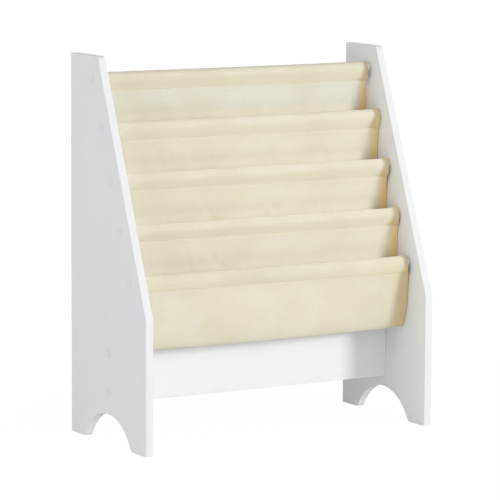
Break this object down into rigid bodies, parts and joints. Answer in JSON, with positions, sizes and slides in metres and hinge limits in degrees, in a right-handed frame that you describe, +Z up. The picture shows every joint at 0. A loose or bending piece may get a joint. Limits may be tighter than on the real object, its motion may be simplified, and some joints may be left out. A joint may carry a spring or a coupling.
{
  "type": "sling bookshelf",
  "caption": "Children's floor-standing bookshelf: two leaning side panels joined by dowels and a low cross board, with a sewn cloth sling hung over the dowels as open book pockets.",
  "frame": {"origin": "on the floor, under the middle of the shelf's width and depth", "axes": "+X to the shelf's right as seen from the front, +Y from the front to the back, +Z up"},
  "size_m": [0.6016, 0.28, 0.69],
  "materials": {
    "white_lacquer": "satin white lacquer on fibreboard",
    "dowel_paint": "white paint on turned wood",
    "cream_cloth": "plain woven cream canvas",
    "zinc_steel": "zinc plated",
    "cover_plastic": "matte white film"
  },
  "bodies": {
    "root": {"side_panel_left": "white_lacquer", "side_panel_right": "white_lacquer", "cross_board": "white_lacquer", "dowel_1": "dowel_paint", "dowel_2": "dowel_paint", "dowel_3": "dowel_paint", "dowel_4": "dowel_paint", "dowel_5": "dowel_paint", "sleeve_1": "cream_cloth", "sleeve_2": "cream_cloth", "sleeve_3": "cream_cloth", "sleeve_4": "cream_cloth", "sleeve_5": "cream_cloth", "pocket_1": "cream_cloth", "pocket_2": "cream_cloth", "pocket_3": "cream_cloth", "pocket_4": "cream_cloth", "dowel_screw_left_1": "zinc_steel", "dowel_screw_left_2": "zinc_steel", "dowel_screw_left_3": "zinc_steel", "dowel_screw_left_4": "zinc_steel", "dowel_screw_left_5": "zinc_steel", "dowel_screw_right_1": "zinc_steel", "dowel_screw_right_2": "zinc_steel", "dowel_screw_right_3": "zinc_steel", "dowel_screw_right_4": "zinc_steel", "dowel_screw_right_5": "zinc_steel", "board_screw_left_1": "zinc_steel", "board_screw_left_2": "zinc_steel", "board_screw_right_1": "zinc_steel", "board_screw_right_2": "zinc_steel", "screw_cover_left_1": "cover_plastic", "screw_cover_left_2": "cover_plastic", "screw_cover_left_3": "cover_plastic", "screw_cover_left_4": "cover_plastic", "screw_cover_left_5": "cover_plastic", "screw_cover_left_6": "cover_plastic", "screw_cover_left_7": "cover_plastic", "screw_cover_right_1": "cover_plastic", "screw_cover_right_2": "cover_plastic", "screw_cover_right_3": "cover_plastic", "screw_cover_right_4": "cover_plastic", "screw_cover_right_5": "cover_plastic", "screw_cover_right_6": "cover_plastic", "screw_cover_right_7": "cover_plastic"}
  },
  "joints": []
}
